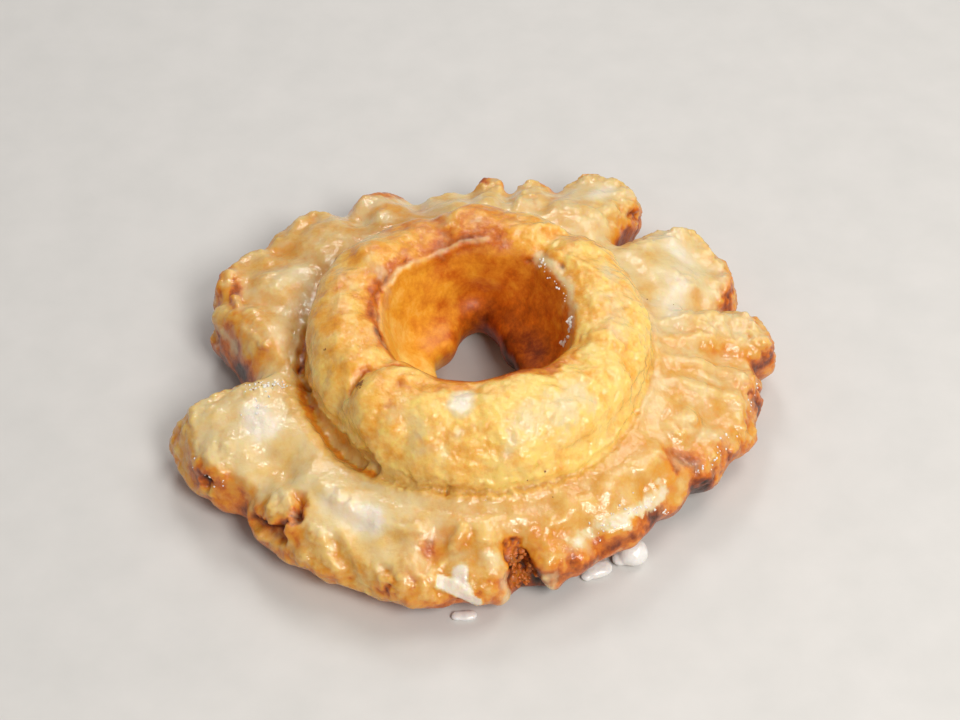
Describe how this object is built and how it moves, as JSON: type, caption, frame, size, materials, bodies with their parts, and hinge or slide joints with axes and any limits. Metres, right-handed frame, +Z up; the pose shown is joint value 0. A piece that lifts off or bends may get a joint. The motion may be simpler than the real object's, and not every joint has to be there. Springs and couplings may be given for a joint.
{
  "type": "old-fashioned doughnut",
  "caption": "Glazed old-fashioned doughnut: a risen ring round a funnel-shaped hole, on a wide cracked skirt with ragged petals and a tear through one side.",
  "frame": {"origin": "on the surface that the doughnut rests on, below the middle of its box; the axis of the hole is 0.3 mm to the -X side of it", "axes": "+Z up, +X along the doughnut's greatest width, with the tear through the skirt on the -X side, and -Y towards the side it is seen from"},
  "size_m": [0.0954, 0.0874, 0.0237],
  "materials": {
    "glazed_dough": "fried cake crust under a thin, part clear and part white sugar glaze: pale golden on top, orange-brown at the ragged edges and in the hole",
    "white_glaze": "thick set sugar glaze: white, smooth and slightly translucent, where it pooled, dripped and broke off in lumps"
  },
  "bodies": {
    "root": {"doughnut": "glazed_dough"}
  },
  "joints": []
}
